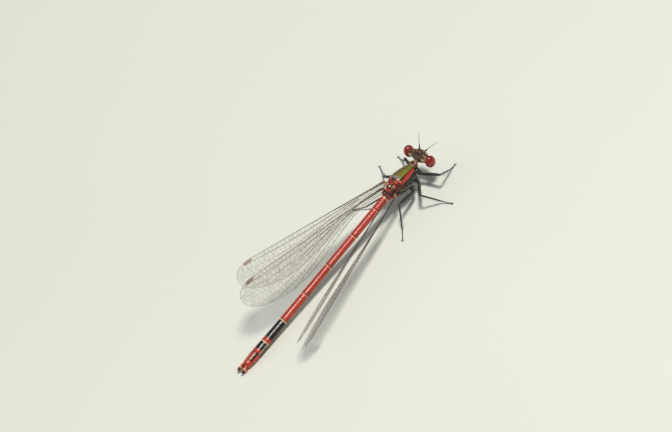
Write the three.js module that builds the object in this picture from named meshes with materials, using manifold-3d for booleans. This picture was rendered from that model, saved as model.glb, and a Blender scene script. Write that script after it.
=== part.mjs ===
// Large red damselfly, a life-size still model standing on the floor.
// Millimetres, X forward, Y to the animal's left, Z up, floor at Z = 0.
// Places are measured from the point on the floor under the middle of the thorax.

import * as THREE from 'three';
import { mergeVertices } from 'three/addons/utils/BufferGeometryUtils.js';
import Module from 'manifold-3d';

const wasm = await Module();
wasm.setup();

// Driving sizes
const gap = 0.25; // free space between neighbouring pieces
const bodySides = 16; // facets round the thorax and abdomen
const limbSides = 10; // facets round a leg or an antenna

const headCentre = new THREE.Vector3(3.72, 0, 3.7);
const headHalf = { long: 0.68, wide: 1.75, high: 0.8 };
const eyeHalf = { long: 0.68, wide: 0.58, high: 0.84 };
const eyeSpread = 1.68; // from the head's middle to an eye's middle
const eyeBack = 0.06;
const faceReach = 0.86; // from the head's middle to the front of the face
const antennaLength = 2.1;
const antennaThick = 0.5;

const thoraxFront = 2.05;
const thoraxRear = -2.35;

const abdomenStart = new THREE.Vector3(thoraxRear - gap, 0.12, 3.45);
const abdomenReach = 26.15; // along X from the thorax to the end of segment 10
const abdomenDrop = 3;
const abdomenSag = 1.2; // power of the curve that brings the abdomen down to the floor
const abdomenSwing = { first: 2.74, second: -0.56 }; // sideways bend to the animal's left
const segmentLengths = [0.75, 1.55, 4.25, 4.85, 4.6, 4.25, 3.5, 1.75, 1.35, 0.9];
const segmentHalfWidths = [0.53, 0.5, 0.47, 0.46, 0.47, 0.5, 0.54, 0.6, 0.62, 0.55];
const clasperLength = 0.95;
const clasperThick = 0.36;

const femurThick = 0.6;
const tibiaThick = 0.5;
const tarsusThick = 0.5;
const tarsusHeight = 0.42; // the foot's top above the floor
const clawLength = 0.32;

const wingThick = 0.44; // the membrane
const veinRise = 0.08; // a main vein's ridge above the membrane, on each face
const stigmaRise = 0.14;
const stalkWidth = 0.6;
const wingWidth = 3.97;
const foreLength = 22.5;
const hindLength = 21.8;
const tipDrop = 1.65; // from the front edge's line to the middle of the rounded tip

// Colours, roughness and sheen of each kind of surface
const looks = {
  black: { color: 0x15130f, roughness: 0.32, metalness: 0.05 },
  bronze: { color: 0x3b3a1c, roughness: 0.3, metalness: 0.35 },
  red: { color: 0xb02a1c, roughness: 0.3, metalness: 0 },
  darkRed: { color: 0x5e1a10, roughness: 0.3, metalness: 0 },
  eye: { color: 0x9c1410, roughness: 0.15, metalness: 0 },
  leg: { color: 0x1c1d1b, roughness: 0.38, metalness: 0 },
  wing: { color: 0xa79f8c, roughness: 0.25, metalness: 0 },
};

const part = new THREE.Group();

// A piece of the animal as a named mesh
function addNode(name, geometry, look) {
  const mesh = new THREE.Mesh(geometry, new THREE.MeshStandardMaterial(looks[look]));
  mesh.name = name;
  part.add(mesh);
}

// Three numbers as a point
function point(x, y, z) {
  return new THREE.Vector3(x, y, z);
}

// Signed volume, negative when the faces point inwards
function signedVolume(positions, triangles) {
  const a = new THREE.Vector3();
  const b = new THREE.Vector3();
  const c = new THREE.Vector3();
  let sum = 0;
  for (const [i, j, k] of triangles) {
    a.fromArray(positions, 3 * i);
    b.fromArray(positions, 3 * j);
    c.fromArray(positions, 3 * k);
    sum += a.dot(b.cross(c)) / 6;
  }
  return sum;
}

// A closed geometry from points and triangles, with its faces pointing out
function closedGeometry(points, triangles) {
  const positions = points.flatMap((p) => p.toArray());
  const inward = signedVolume(positions, triangles) < 0;
  const ordered = triangles.map(([i, j, k]) => (inward ? [i, k, j] : [i, j, k]));
  const geometry = new THREE.BufferGeometry();
  geometry.setAttribute('position', new THREE.Float32BufferAttribute(positions, 3));
  geometry.setIndex(ordered.flat());
  return geometry;
}

// A skin over a row of rings, closed by a fan at each end.
// A ring has a centre, unit directions across and up, and half sizes wide and high.
// Square above 1 fills out the ring's corners, and no point goes below the floor.
function loft(rings, sides) {
  const points = [];
  const triangles = [];
  for (const ring of rings) {
    const square = 1 / (ring.square ?? 1);
    for (let k = 0; k < sides; k += 1) {
      const angle = (2 * Math.PI * k) / sides;
      const across = Math.sign(Math.cos(angle)) * Math.abs(Math.cos(angle)) ** square;
      const upward = Math.sign(Math.sin(angle)) * Math.abs(Math.sin(angle)) ** square;
      const spot = ring.centre.clone();
      spot.addScaledVector(ring.across, across * ring.wide);
      spot.addScaledVector(ring.up, upward * ring.high);
      spot.z = Math.max(spot.z, 0);
      points.push(spot);
    }
  }
  for (let i = 0; i + 1 < rings.length; i += 1) {
    for (let k = 0; k < sides; k += 1) {
      const here = i * sides + k;
      const beside = i * sides + ((k + 1) % sides);
      triangles.push([here, beside, beside + sides], [here, beside + sides, here + sides]);
    }
  }
  const last = (rings.length - 1) * sides;
  for (const [first, forward] of [[0, false], [last, true]]) {
    const middle = points.length;
    const sum = point(0, 0, 0);
    points.slice(first, first + sides).forEach((p) => sum.add(p));
    points.push(sum.divideScalar(sides));
    for (let k = 0; k < sides; k += 1) {
      const here = first + k;
      const beside = first + ((k + 1) % sides);
      triangles.push(forward ? [middle, here, beside] : [middle, beside, here]);
    }
  }
  return closedGeometry(points, triangles);
}

// Directions across and up at right angles to a run of a limb or the body
function frameAlong(direction, upHint = point(0, 0, 1)) {
  const across = upHint.clone().cross(direction);
  if (across.length() < 0.05) across.set(0, 1, 0).cross(direction);
  across.normalize();
  const up = direction.clone().cross(across).normalize();
  return { across, up };
}

// A round limb through a few points, each with its own thickness
function limb(stations, sides = limbSides) {
  const rings = stations.map(({ at, thick, high }, i) => {
    const before = stations[Math.max(i - 1, 0)].at;
    const after = stations[Math.min(i + 1, stations.length - 1)].at;
    const direction = after.clone().sub(before).normalize();
    const { across, up } = frameAlong(direction);
    return { centre: at, across, up, wide: thick / 2, high: (high ?? thick) / 2 };
  });
  return loft(rings, sides);
}

// A point part of the way from one to another
function between(a, b, share) {
  return a.clone().lerp(b, share);
}

// An ellipsoid from its centre and half sizes
function ellipsoid(centre, half, across = 20, tall = 10) {
  const sphere = new THREE.SphereGeometry(1, across, tall);
  sphere.deleteAttribute('normal');
  sphere.deleteAttribute('uv');
  sphere.rotateX(Math.PI / 2);
  sphere.scale(half.long, half.wide, half.high);
  sphere.translate(centre.x, centre.y, centre.z);
  return mergeVertices(sphere, 1e-5);
}

// Between a geometry and a solid that can be joined and cut
function toSolid(geometry) {
  const vertProperties = new Float32Array(geometry.attributes.position.array);
  const triVerts = new Uint32Array(geometry.index.array);
  return new wasm.Manifold(new wasm.Mesh({ numProp: 3, vertProperties, triVerts }));
}

function toGeometry(solid) {
  const pieces = solid.decompose();
  pieces.sort((a, b) => b.volume() - a.volume());
  const mesh = pieces[0].getMesh();
  const geometry = new THREE.BufferGeometry();
  geometry.setAttribute('position', new THREE.BufferAttribute(mesh.vertProperties, 3));
  geometry.setIndex(new THREE.BufferAttribute(mesh.triVerts, 1));
  return mergeVertices(geometry, 1e-4);
}

// Joins pieces into one solid and cuts others out of it
function fuse(pieces, cuts = []) {
  let solid = toSolid(pieces[0]);
  for (const piece of pieces.slice(1)) solid = solid.add(toSolid(piece));
  for (const piece of cuts) solid = solid.subtract(toSolid(piece));
  return toGeometry(solid);
}

// Head: a bar between the eyes, with forehead, face, upper lip and jaws
function buildHead() {
  const c = headCentre;
  const bar = ellipsoid(c, headHalf, 24, 14);
  const forehead = ellipsoid(point(c.x + 0.3, c.y, c.z + 0.22), { long: 0.42, wide: 0.72, high: 0.48 });
  const nose = ellipsoid(
    point(c.x + faceReach - 0.3, c.y, c.z - 0.12),
    { long: 0.3, wide: 0.58, high: 0.24 }, 18, 8);
  const lip = ellipsoid(
    point(c.x + faceReach - 0.36, c.y, c.z - 0.48),
    { long: 0.28, wide: 0.52, high: 0.2 }, 18, 8);
  const jaws = ellipsoid(
    point(c.x + 0.2, c.y, c.z - 0.68),
    { long: 0.4, wide: 0.5, high: 0.3 }, 16, 8);
  const nape = ellipsoid(
    point(c.x - 0.42, c.y, c.z - 0.02),
    { long: 0.34, wide: 0.95, high: 0.52 }, 18, 8);
  const ocelli = [[0.3, 0], [0.06, 1], [0.06, -1]].map(([ahead, side]) => ellipsoid(
    point(c.x + ahead, c.y + side * 0.24, c.z + 0.68 + ahead * 0.02),
    { long: 0.11, wide: 0.11, high: 0.1 }, 8, 6));
  const sockets = [1, -1].map((side) => ellipsoid(eyeCentre(side), {
    long: eyeHalf.long + gap,
    wide: eyeHalf.wide + gap,
    high: eyeHalf.high + gap,
  }));
  return fuse([bar, forehead, nose, lip, jaws, nape, ...ocelli], sockets);
}

function eyeCentre(side) {
  return point(headCentre.x - eyeBack, headCentre.y + side * eyeSpread, headCentre.z + 0.02);
}

// A feeler: a stout base piece and a tapering bristle
function buildAntenna(side) {
  const root = point(headCentre.x + 0.78, side * 0.42, headCentre.z + 0.48);
  const along = point(0.72, side * 0.52, 0.46).normalize();
  const lengths = [0, 0.1, 0.3, 0.42, 0.9, antennaLength];
  const thicknesses = [0.3, antennaThick * 0.8, antennaThick * 0.8, 0.26, 0.2, 0.08];
  return limb(lengths.map((s, i) => ({
    at: root.clone().addScaledVector(along, s).add(point(0, 0, -0.05 * s * s)),
    thick: thicknesses[i],
  })), 8);
}

// Neck and prothorax: a narrow neck, a raised collar and a rounded shield
function buildProthorax() {
  const front = headCentre.x - headHalf.long - gap - 0.1;
  const rear = thoraxFront + gap;
  const across = point(0, 1, 0);
  const up = point(0, 0, 1);
  const profile = [
    [0, 0.26, 0.24, 3.62],
    [0.22, 0.34, 0.34, 3.56],
    [0.3, 0.5, 0.44, 3.5],
    [0.55, 0.58, 0.52, 3.46],
    [0.8, 0.62, 0.56, 3.42],
    [1, 0.5, 0.48, 3.4],
  ];
  return loft(profile.map(([share, wide, high, z]) => ({
    centre: point(THREE.MathUtils.lerp(front, rear, share), 0, z), across, up, wide, high,
  })), bodySides);
}

// Main thorax: leans back, so that the wings sit behind the legs
const thoraxProfile = [
  // x, middle height, half width, half height
  [thoraxFront, 3.28, 0.55, 0.6],
  [1.8, 3.22, 0.76, 0.86],
  [1.3, 3.2, 0.93, 1.1],
  [0.7, 3.24, 1.04, 1.26],
  [0.1, 3.34, 1.1, 1.36],
  [-0.6, 3.46, 1.1, 1.38],
  [-1.2, 3.52, 1.02, 1.27],
  [-1.75, 3.48, 0.88, 1.02],
  [-2.15, 3.4, 0.7, 0.72],
  [thoraxRear, 3.4, 0.52, 0.5],
];

function buildThorax() {
  const across = point(0, 1, 0);
  const up = point(0, 0, 1);
  const body = loft(thoraxProfile.map(([x, z, wide, high]) => ({
    centre: point(x, 0, z), across, up, wide, high, square: 1.12,
  })), 24);
  const keel = loft([[1.75, 4.02], [0.9, 4.44], [0, 4.68], [-0.75, 4.8]].map(([x, z]) => ({
    centre: point(x, 0, z), across, up, wide: 0.09, high: 0.1,
  })), 8);
  const wingBosses = [1, -1].flatMap((side) => [
    ellipsoid(point(-1.6, side * 0.5, 4.12), { long: 0.42, wide: 0.34, high: 0.3 }, 14, 8),
    ellipsoid(point(-2.0, side * 0.55, 3.55), { long: 0.36, wide: 0.32, high: 0.3 }, 14, 8),
  ]);
  return fuse([body, keel, ...wingBosses]);
}

// Middle line of the abdomen, at a share of its length from 0 to 1
function abdomenPoint(share) {
  return point(
    abdomenStart.x - abdomenReach * share,
    abdomenStart.y + abdomenSwing.first * share * (1 + (abdomenSwing.second / abdomenSwing.first) * share),
    abdomenStart.z - abdomenDrop * (1 - (1 - share) ** abdomenSag),
  );
}

function abdomenDirection(share) {
  const step = 0.01;
  return abdomenPoint(Math.min(share + step, 1)).sub(abdomenPoint(Math.max(share - step, 0))).normalize();
}

// Ten segments, each waisted a little between flared ends
function buildAbdomen() {
  const total = segmentLengths.reduce((sum, length) => sum + length, 0);
  const halfGap = gap / 2 / total;
  let start = 0;
  segmentLengths.forEach((length, index) => {
    const half = segmentHalfWidths[index];
    const before = index === 0 ? half : (half + segmentHalfWidths[index - 1]) / 2;
    const after = index === 9 ? half * 0.86 : (half + segmentHalfWidths[index + 1]) / 2;
    const end = start + length / total;
    const from = index === 0 ? start : start + halfGap;
    const to = index === 9 ? end : end - halfGap;
    const shape = [
      [0, before * 0.9],
      [0.06, before],
      [0.3, half * 0.98],
      [0.6, half * 0.98],
      [0.92, after * 1.03],
      [1, after * 0.94],
    ];
    const rings = shape.map(([share, wide]) => {
      const at = THREE.MathUtils.lerp(from, to, share);
      const { across, up } = frameAlong(abdomenDirection(at));
      return { centre: abdomenPoint(at), across, up, wide, high: wide * 0.98 };
    });
    addNode(`abdomen_segment_${index + 1}`, loft(rings, bodySides), index < 6 || index > 7 ? 'red' : 'black');
    start = end;
  });
}

// Two upper and two lower claspers behind the last segment
function buildClaspers() {
  const back = abdomenDirection(1);
  const { across, up } = frameAlong(back);
  const root = abdomenPoint(1).addScaledVector(back, gap);
  for (const [row, lift, reach] of [['upper', 0.24, 1], ['lower', -0.24, 0.86]]) {
    for (const [hand, side] of [['left', 1], ['right', -1]]) {
      const sideways = across.clone().multiplyScalar(across.y > 0 ? side : -side);
      const spots = [[0, 0.25, 1], [0.35, 0.29, 0.98], [0.7, 0.27, 0.7], [1, 0.19, 0.25]];
      const stations = spots.map(([share, spread, size]) => ({
        at: root.clone()
          .addScaledVector(back, share * clasperLength * reach)
          .addScaledVector(sideways, spread)
          .addScaledVector(up, lift * (1 - 0.25 * share)),
        thick: clasperThick * size,
      }));
      addNode(`clasper_${row}_${hand}`, limb(stations, 8), 'darkRed');
    }
  }
}

// Legs, from hip and knee to ankle and toe on the floor, for each side
const legs = {
  front: {
    left: { hip: [2.4, 0.5, 2.25], thigh: [2.55, 0.9, 2.05], knee: [3.1, 2.3, 2.5], ankle: [3.6, 3.9, 0.45], toe: [3.9, 4.85] },
    right: { hip: [2.4, -0.5, 2.25], thigh: [2.6, -0.95, 2.05], knee: [3.15, -3.15, 2.6], ankle: [5.3, -2.32, 0.45], toe: [6.2, -2.15] },
  },
  middle: {
    left: { hip: [1.5, 0.62, 1.85], thigh: [1.35, 1.0, 1.75], knee: [-0.34, 2.6, 2.9], ankle: [1.1, 5.05, 0.45], toe: [1.7, 6.1] },
    right: { hip: [1.5, -0.62, 1.85], thigh: [1.4, -1.0, 1.75], knee: [-0.38, -2.95, 2.8], ankle: [1.15, -4.25, 0.45], toe: [1.6, -5.3] },
  },
  hind: {
    left: { hip: [0.35, 0.72, 1.7], thigh: [0.05, 1.05, 1.6], knee: [-2.5, 1.6, 2.05], ankle: [-3.95, 3.7, 0.45], toe: [-4.75, 4.95] },
    right: { hip: [0.35, -0.72, 1.7], thigh: [0.05, -1.1, 1.65], knee: [-2.84, -1.86, 3.2], ankle: [-4.2, -2.4, 0.45], toe: [-5.3, -3.2] },
  },
};

function buildLeg(name, hand, places) {
  const hip = point(...places.hip);
  const thigh = point(...places.thigh);
  const knee = point(...places.knee);
  const ankle = point(...places.ankle);
  const toe = point(...places.toe, tarsusHeight / 2);
  const kneeRest = gap / knee.distanceTo(ankle);
  addNode(`leg_${name}_${hand}_femur`, limb([
    { at: hip, thick: 0.5 },
    { at: between(hip, thigh, 0.5), thick: 0.62 },
    { at: thigh, thick: 0.55 },
    { at: between(thigh, knee, 0.25), thick: femurThick },
    { at: between(thigh, knee, 0.6), thick: femurThick * 0.95 },
    { at: between(thigh, knee, 0.9), thick: 0.5 },
    { at: knee, thick: 0.44 },
  ]), 'leg');
  const shinTop = between(knee, ankle, kneeRest * 1.6);
  addNode(`leg_${name}_${hand}_tibia`, limb([
    { at: shinTop, thick: 0.4 },
    { at: between(shinTop, ankle, 0.1), thick: tibiaThick },
    { at: between(shinTop, ankle, 0.6), thick: tibiaThick * 0.96 },
    { at: between(shinTop, ankle, 0.96), thick: tibiaThick * 0.9 },
  ], 8), 'leg');
  const footAlong = toe.clone().sub(ankle).setZ(0).normalize();
  const heel = point(ankle.x, ankle.y, tarsusHeight / 2).addScaledVector(footAlong, gap * 1.5);
  const claws = [1, -1].map((side) => {
    const sideways = point(-footAlong.y, footAlong.x, 0).multiplyScalar(side);
    const spread = footAlong.clone().multiplyScalar(clawLength).addScaledVector(sideways, 0.16);
    return limb([
      { at: toe.clone().addScaledVector(footAlong, -0.2), thick: 0.24 },
      { at: toe.clone().addScaledVector(spread, 0.5), thick: 0.2 },
      { at: toe.clone().add(spread).setZ(0.1), thick: 0.08 },
    ], 6);
  });
  const foot = limb([
    { at: heel, thick: tarsusThick * 0.8, high: tarsusHeight * 1.04 },
    { at: between(heel, toe, 0.15), thick: tarsusThick, high: tarsusHeight * 1.12 },
    { at: between(heel, toe, 0.7), thick: tarsusThick * 0.95, high: tarsusHeight * 1.12 },
    { at: toe, thick: tarsusThick * 0.7, high: tarsusHeight * 1.04 },
  ], 10);
  addNode(`leg_${name}_${hand}_tarsus`, fuse([foot, ...claws]), 'leg');
}

// Wings. Each has its root, its tip, and the direction of its front edge.
const wings = {
  fore: {
    length: foreLength,
    left: { root: [-1.98, 0.68, 4.7], towards: [-21.06, 3.62, 6.8], chord: [0.3, 0.65, 0.68] },
    right: { root: [-2.02, -0.7, 4.74], towards: [-22.3, -3.96, 0.3], chord: [0.0, -0.62, 0.78] },
  },
  hind: {
    length: hindLength,
    left: { root: [-2.45, 1.1, 3.62], towards: [-20.98, 4.2, 3.6], chord: [0.3, 0.65, 0.68] },
    right: { root: [-2.45, -1.0, 3.62], towards: [-21.77, -3.8, -0.2], chord: [0.03, -0.65, 0.76] },
  },
};

// Main veins, as shares of the wing's width from the front edge, with valleys between
const veinShares = [0, 0.1, 0.2, 0.35, 0.52, 0.74, 1];
const stalkShare = 0.17; // of the length, before the blade widens
const stigma = { from: 0.86, to: 0.925, width: 0.12 };
const wingSteps = 26;

// Smooth rise from 0 to 1
function ease(value, from, to) {
  return THREE.MathUtils.smoothstep(value, from, to);
}

// How full the outline still is near the tip, 1 down to 0, from where its rounding starts
function tipRound(share, start) {
  const run = Math.max(share - start, 0) / (1 - start);
  return Math.max(0, 1 - run ** 2.2) ** (1 / 2.2);
}

// Front and rear edge of the blade, measured from the line of its front edge's direction
function wingEdges(share) {
  const front = stalkWidth / 2;
  const widening = ease(share, stalkShare * 0.7, 0.74) ** 0.85;
  const rear = -front - (wingWidth - stalkWidth) * widening;
  const tip = front - tipDrop;
  return {
    front: THREE.MathUtils.lerp(tip, front, tipRound(share, 0.88)),
    rear: THREE.MathUtils.lerp(Math.max(rear, tip), rear, tipRound(share, 0.72)),
  };
}

// Shares of the width where the surface bends: every vein and the valley after it
function widthSteps() {
  return veinShares.flatMap((share, i) => {
    const next = veinShares[i + 1];
    if (next === undefined) return [{ share, vein: true }];
    return [{ share, vein: true }, { share: (share + next) / 2, vein: false }];
  });
}

// Half thickness of the wing at a place along it and across it
function wingHalfThick(along, step) {
  const inStigma = along > stigma.from && along < stigma.to && step.share < stigma.width;
  const rise = step.vein ? veinRise * ease(along, 0.03, 0.12) : 0;
  const thin = 1 - 0.35 * ease(along, 0.9, 1);
  return (wingThick / 2) * thin + (inStigma ? stigmaRise : rise);
}

function buildWing({ root, towards, chord }, length) {
  const start = point(...root);
  const axis = point(...towards).normalize();
  const front = point(...chord).addScaledVector(axis, -point(...chord).dot(axis)).normalize();
  const face = axis.clone().cross(front).normalize();
  const across = widthSteps();
  const points = [];
  for (const upper of [1, -1]) {
    for (let i = 0; i <= wingSteps; i += 1) {
      const share = 0.997 * Math.sin((Math.PI / 2) * (i / wingSteps));
      const edges = wingEdges(share);
      for (const step of across) {
        const width = THREE.MathUtils.lerp(edges.front, edges.rear, step.share);
        const spot = start.clone().addScaledVector(axis, share * length);
        spot.addScaledVector(front, width);
        spot.addScaledVector(face, upper * wingHalfThick(share, step));
        points.push(spot);
      }
    }
  }
  return closedGeometry(points, sheetTriangles(wingSteps, across.length));
}

// Triangles of a closed sheet with the same diagonals on both faces
function sheetTriangles(steps, columns) {
  const under = (steps + 1) * columns;
  const triangles = [];
  for (let i = 0; i < steps; i += 1) {
    for (let j = 0; j + 1 < columns; j += 1) {
      const a = i * columns + j;
      const b = a + 1;
      const c = a + columns;
      const d = c + 1;
      triangles.push([a, b, d], [a, d, c]);
      triangles.push([a + under, d + under, b + under], [a + under, c + under, d + under]);
    }
  }
  const rim = [];
  for (let j = 0; j + 1 < columns; j += 1) rim.push([j, j + 1]);
  for (let i = 0; i < steps; i += 1) rim.push([i * columns + columns - 1, (i + 1) * columns + columns - 1]);
  for (let j = columns - 1; j > 0; j -= 1) rim.push([steps * columns + j, steps * columns + j - 1]);
  for (let i = steps; i > 0; i -= 1) rim.push([i * columns, (i - 1) * columns]);
  for (const [a, b] of rim) triangles.push([a, a + under, b + under], [a, b + under, b]);
  return triangles;
}

addNode('head', buildHead(), 'bronze');
for (const [hand, side] of [['left', 1], ['right', -1]]) {
  addNode(`eye_${hand}`, ellipsoid(eyeCentre(side), eyeHalf, 24, 12), 'eye');
  addNode(`antenna_${hand}`, buildAntenna(side), 'black');
}
addNode('prothorax', buildProthorax(), 'darkRed');
addNode('thorax', buildThorax(), 'bronze');
buildAbdomen();
buildClaspers();
for (const [name, pair] of Object.entries(legs)) {
  for (const [hand, places] of Object.entries(pair)) buildLeg(name, hand, places);
}
for (const [name, pair] of Object.entries(wings)) {
  for (const hand of ['left', 'right']) {
    addNode(`wing_${name}_${hand}`, buildWing(pair[hand], pair.length), 'wing');
  }
}

// The origin moves to the middle of the box, on the floor
const box = new THREE.Box3().setFromObject(part);
const middle = box.getCenter(new THREE.Vector3());
part.position.set(-middle.x, -middle.y, 0);

export default part;
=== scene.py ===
"""The looks of a life-size large red damselfly that stands on the floor with its wings half open.

Pieces are modelled in millimetres from the floor point under the thorax, X forward, Y to the
animal's left, Z up, and are then set into the frame in metres.
"""

import math

import bpy
import numpy as np
from mathutils import Matrix, Vector


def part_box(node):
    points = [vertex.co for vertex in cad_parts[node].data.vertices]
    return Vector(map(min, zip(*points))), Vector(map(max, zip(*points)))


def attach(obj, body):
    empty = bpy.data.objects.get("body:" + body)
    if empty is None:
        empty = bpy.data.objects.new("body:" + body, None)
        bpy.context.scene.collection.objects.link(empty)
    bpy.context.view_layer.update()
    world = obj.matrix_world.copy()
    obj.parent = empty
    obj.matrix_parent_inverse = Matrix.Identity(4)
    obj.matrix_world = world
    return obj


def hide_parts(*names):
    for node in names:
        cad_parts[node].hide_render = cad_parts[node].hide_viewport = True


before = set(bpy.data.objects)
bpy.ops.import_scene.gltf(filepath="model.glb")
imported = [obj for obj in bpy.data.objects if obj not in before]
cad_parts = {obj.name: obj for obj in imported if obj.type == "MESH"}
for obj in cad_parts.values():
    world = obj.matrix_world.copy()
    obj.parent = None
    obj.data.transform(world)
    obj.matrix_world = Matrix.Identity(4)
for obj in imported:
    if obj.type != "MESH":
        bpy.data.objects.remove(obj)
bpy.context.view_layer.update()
bpy.ops.object.select_all(action="DESELECT")

# Places and sizes, in millimetres
MM = 0.001
THORAX_FRONT = 2.05
thorax_low, thorax_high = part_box("thorax")
HOME = Vector((thorax_high.x - THORAX_FRONT * MM, (thorax_low.y + thorax_high.y) / 2, 0))

HEAD = np.array([3.72, 0.0, 3.7])
EYE_HALF = (0.68, 0.58, 0.84)
EYE_SPREAD = 1.68
EYE_BACK = 0.06
ABDOMEN_START = np.array([-2.6, 0.12, 3.45])
ABDOMEN_REACH = 26.15
ABDOMEN_DROP = 3.0
ABDOMEN_SAG = 1.2
ABDOMEN_SWING = (2.74, -0.56)
SEGMENT_LENGTHS = np.array([0.6, 1.7, 4.25, 4.85, 4.6, 4.25, 3.5, 1.75, 1.35, 0.9])
SEGMENT_HALF_WIDTHS = np.array([0.53, 0.5, 0.47, 0.46, 0.47, 0.5, 0.54, 0.6, 0.62, 0.55])
SEGMENT_ENDS = np.cumsum(SEGMENT_LENGTHS) / SEGMENT_LENGTHS.sum()
ABDOMEN_LENGTH = SEGMENT_LENGTHS.sum()
SKIN_VOXEL = 0.046
WING_WIDTH = 3.97
STALK_WIDTH = 0.6
STALK_SHARE = 0.17
TIP_DROP = 1.65
MEMBRANE_THICK = 0.03
WING_END = 0.9999
WING_NODE = 0.36
ARCULUS = 0.17
VEIN_STEP = 0.027
CROSS_VEINS_START = 0.2
CROSS_VEINS_END = 0.985
CROSS_VEIN_RADIUS = 0.0105
SHORTEST_CROSS_VEIN = 0.12
STIGMA_START = 0.872
STIGMA_LENGTH = 0.052
STIGMA_FRONT = 0.012
STIGMA_WIDTH = 0.1
STIGMA_SLANT = 0.012
TOE_HEIGHT = 0.09
CLASPER_HEIGHT = 0.14
HAIR_SAG = 0.15
GRAIN_SCALE = 2600
WING_SEAMS = (-1.12, -1.58, -1.98)

# Middle height, half width and half height of the thorax at places along it
THORAX_PROFILE = np.array([
    (2.05, 3.28, 0.5, 0.55),
    (1.8, 3.22, 0.76, 0.86),
    (1.3, 3.2, 0.97, 1.1),
    (0.7, 3.24, 1.11, 1.26),
    (0.1, 3.34, 1.18, 1.36),
    (-0.6, 3.46, 1.18, 1.38),
    (-1.2, 3.52, 1.07, 1.27),
    (-1.75, 3.48, 0.88, 1.02),
    (-2.15, 3.4, 0.7, 0.72),
    (-2.5, 3.42, 0.5, 0.5),
    (-2.9, 3.4, 0.44, 0.44),
])

# Hip, start of the thigh, knee, ankle and toe of each leg
LEGS = {
    "front_left": [
        (2.4, 0.5, 2.25), (2.55, 0.9, 2.05), (3.1, 2.3, 2.5), (3.6, 3.9, 0.45), (3.9, 4.85, 0)],
    "front_right": [
        (2.4, -0.5, 2.25), (2.6, -0.95, 2.05), (3.15, -3.15, 2.6), (5.3, -2.32, 0.45), (6.2, -2.15, 0)],
    "middle_left": [
        (1.5, 0.62, 1.85), (1.35, 1.0, 1.75), (-0.34, 2.6, 2.9), (1.1, 5.05, 0.45), (1.7, 6.1, 0)],
    "middle_right": [
        (1.5, -0.62, 1.85), (1.4, -1.0, 1.75), (-0.38, -2.95, 2.8), (1.15, -4.25, 0.45), (1.6, -5.3, 0)],
    "hind_left": [
        (0.35, 0.72, 1.7), (0.05, 1.05, 1.6), (-2.5, 1.6, 2.05), (-3.95, 3.7, 0.45), (-4.75, 4.95, 0)],
    "hind_right": [
        (0.35, -0.72, 1.7), (0.05, -1.1, 1.65), (-2.84, -1.86, 3.2), (-4.2, -2.4, 0.45), (-5.3, -3.2, 0)],
}

# Share along the foot and radius, from the ankle to the toe
FOOT_SHAPE = [
    (0.0, 0.085), (0.04, 0.06), (0.3, 0.075), (0.36, 0.05), (0.6, 0.07), (0.66, 0.05), (1.0, 0.065)]

# Millimetres along the feeler and radius
FEELER_SHAPE = [
    (0, 0.1), (0.1, 0.105), (0.24, 0.09), (0.28, 0.07), (0.5, 0.075), (0.56, 0.04), (1.2, 0.03), (2.2, 0.012)]

# Share along the clasper, millimetres outwards and share of its thickness
CLASPER_SHAPE = [
    (-0.15, 0.22, 1.0), (0.25, 0.32, 1.0), (0.6, 0.37, 0.78), (0.88, 0.31, 0.5), (1.0, 0.2, 0.15)]

# Root, direction towards the tip, direction of the front edge, and length of each wing
WINGS = {
    "fore_left": ((-1.98, 0.68, 4.7), (-21.06, 3.62, 6.8), (0.3, 0.65, 0.68), 22.5),
    "fore_right": ((-2.02, -0.7, 4.74), (-22.3, -3.96, 0.3), (0.0, -0.62, 0.78), 22.5),
    "hind_left": ((-2.45, 1.1, 3.62), (-20.98, 4.2, 3.6), (0.3, 0.65, 0.68), 21.8),
    "hind_right": ((-2.45, -1.0, 3.62), (-21.77, -3.8, -0.2), (0.03, -0.65, 0.76), 21.8),
}

# Colours as sRGB
INK = (16, 13, 11)
BRONZE = (80, 70, 34)
GREEN_GOLD = (158, 150, 52)
# Grey of a painted sheen over the rear of the thorax's back
GREY_SHEEN = (150, 146, 150)
RED = (188, 58, 32)
BRIGHT_RED = (184, 42, 32)
DEEP_RED = (98, 16, 10)
BROWN = (96, 46, 24)
CREAM = (222, 184, 132)
PALE_ROSE = (224, 146, 108)
OLIVE = (146, 132, 64)
ROSE = (200, 96, 70)
YELLOW = (196, 158, 58)
EYE_RED = (170, 20, 8)
EYE_TOP = (142, 34, 14)
EYE_AMBER = (156, 82, 40)
EYE_BELOW = (126, 66, 28)
EYE_BAND = (84, 8, 6)
HINGE_PALE = (212, 158, 120)
HINGE_BROWN = (124, 44, 28)
STEM_DARK = (52, 28, 18)

# Marks between the wing roots: middle, half sizes and colour
WING_AREA_MARKS = [
    ((1.0, 0.5, 4.66), (0.32, 0.3, 0.22), RED),
    ((0.98, 0.46, 4.72), (0.16, 0.14, 0.1), ROSE),
    ((1.32, 0, 4.66), (0.26, 0.24, 0.16), RED),
    ((1.32, 0.3, 4.5), (0.1, 0.05, 0.2), INK),
    ((1.58, 0.2, 4.5), (0.1, 0.1, 0.16), INK),
    ((1.8, 0, 4.56), (0.16, 0.18, 0.14), CREAM),
    ((1.86, 0.3, 4.32), (0.12, 0.12, 0.2), INK),
    ((1.64, 0.5, 4.52), (0.24, 0.16, 0.14), CREAM),
    ((1.5, 0.66, 4.3), (0.2, 0.1, 0.14), RED),
    ((1.9, 0.6, 4.5), (0.14, 0.12, 0.14), CREAM),
    ((2.14, 0.14, 4.12), (0.22, 0.2, 0.16), RED),
    ((2.1, 0.44, 4.02), (0.2, 0.14, 0.12), ROSE),
    ((2.2, 0.84, 3.68), (0.18, 0.14, 0.16), CREAM),
    ((0.74, 0.66, 4.44), (0.16, 0.17, 0.15), CREAM),
]


def linear(srgb):
    """Linear colour from sRGB values of 0 to 255."""
    value = np.array(srgb, float) / 255
    return np.where(value <= 0.04045, value / 12.92, ((value + 0.055) / 1.055) ** 2.4)


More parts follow.
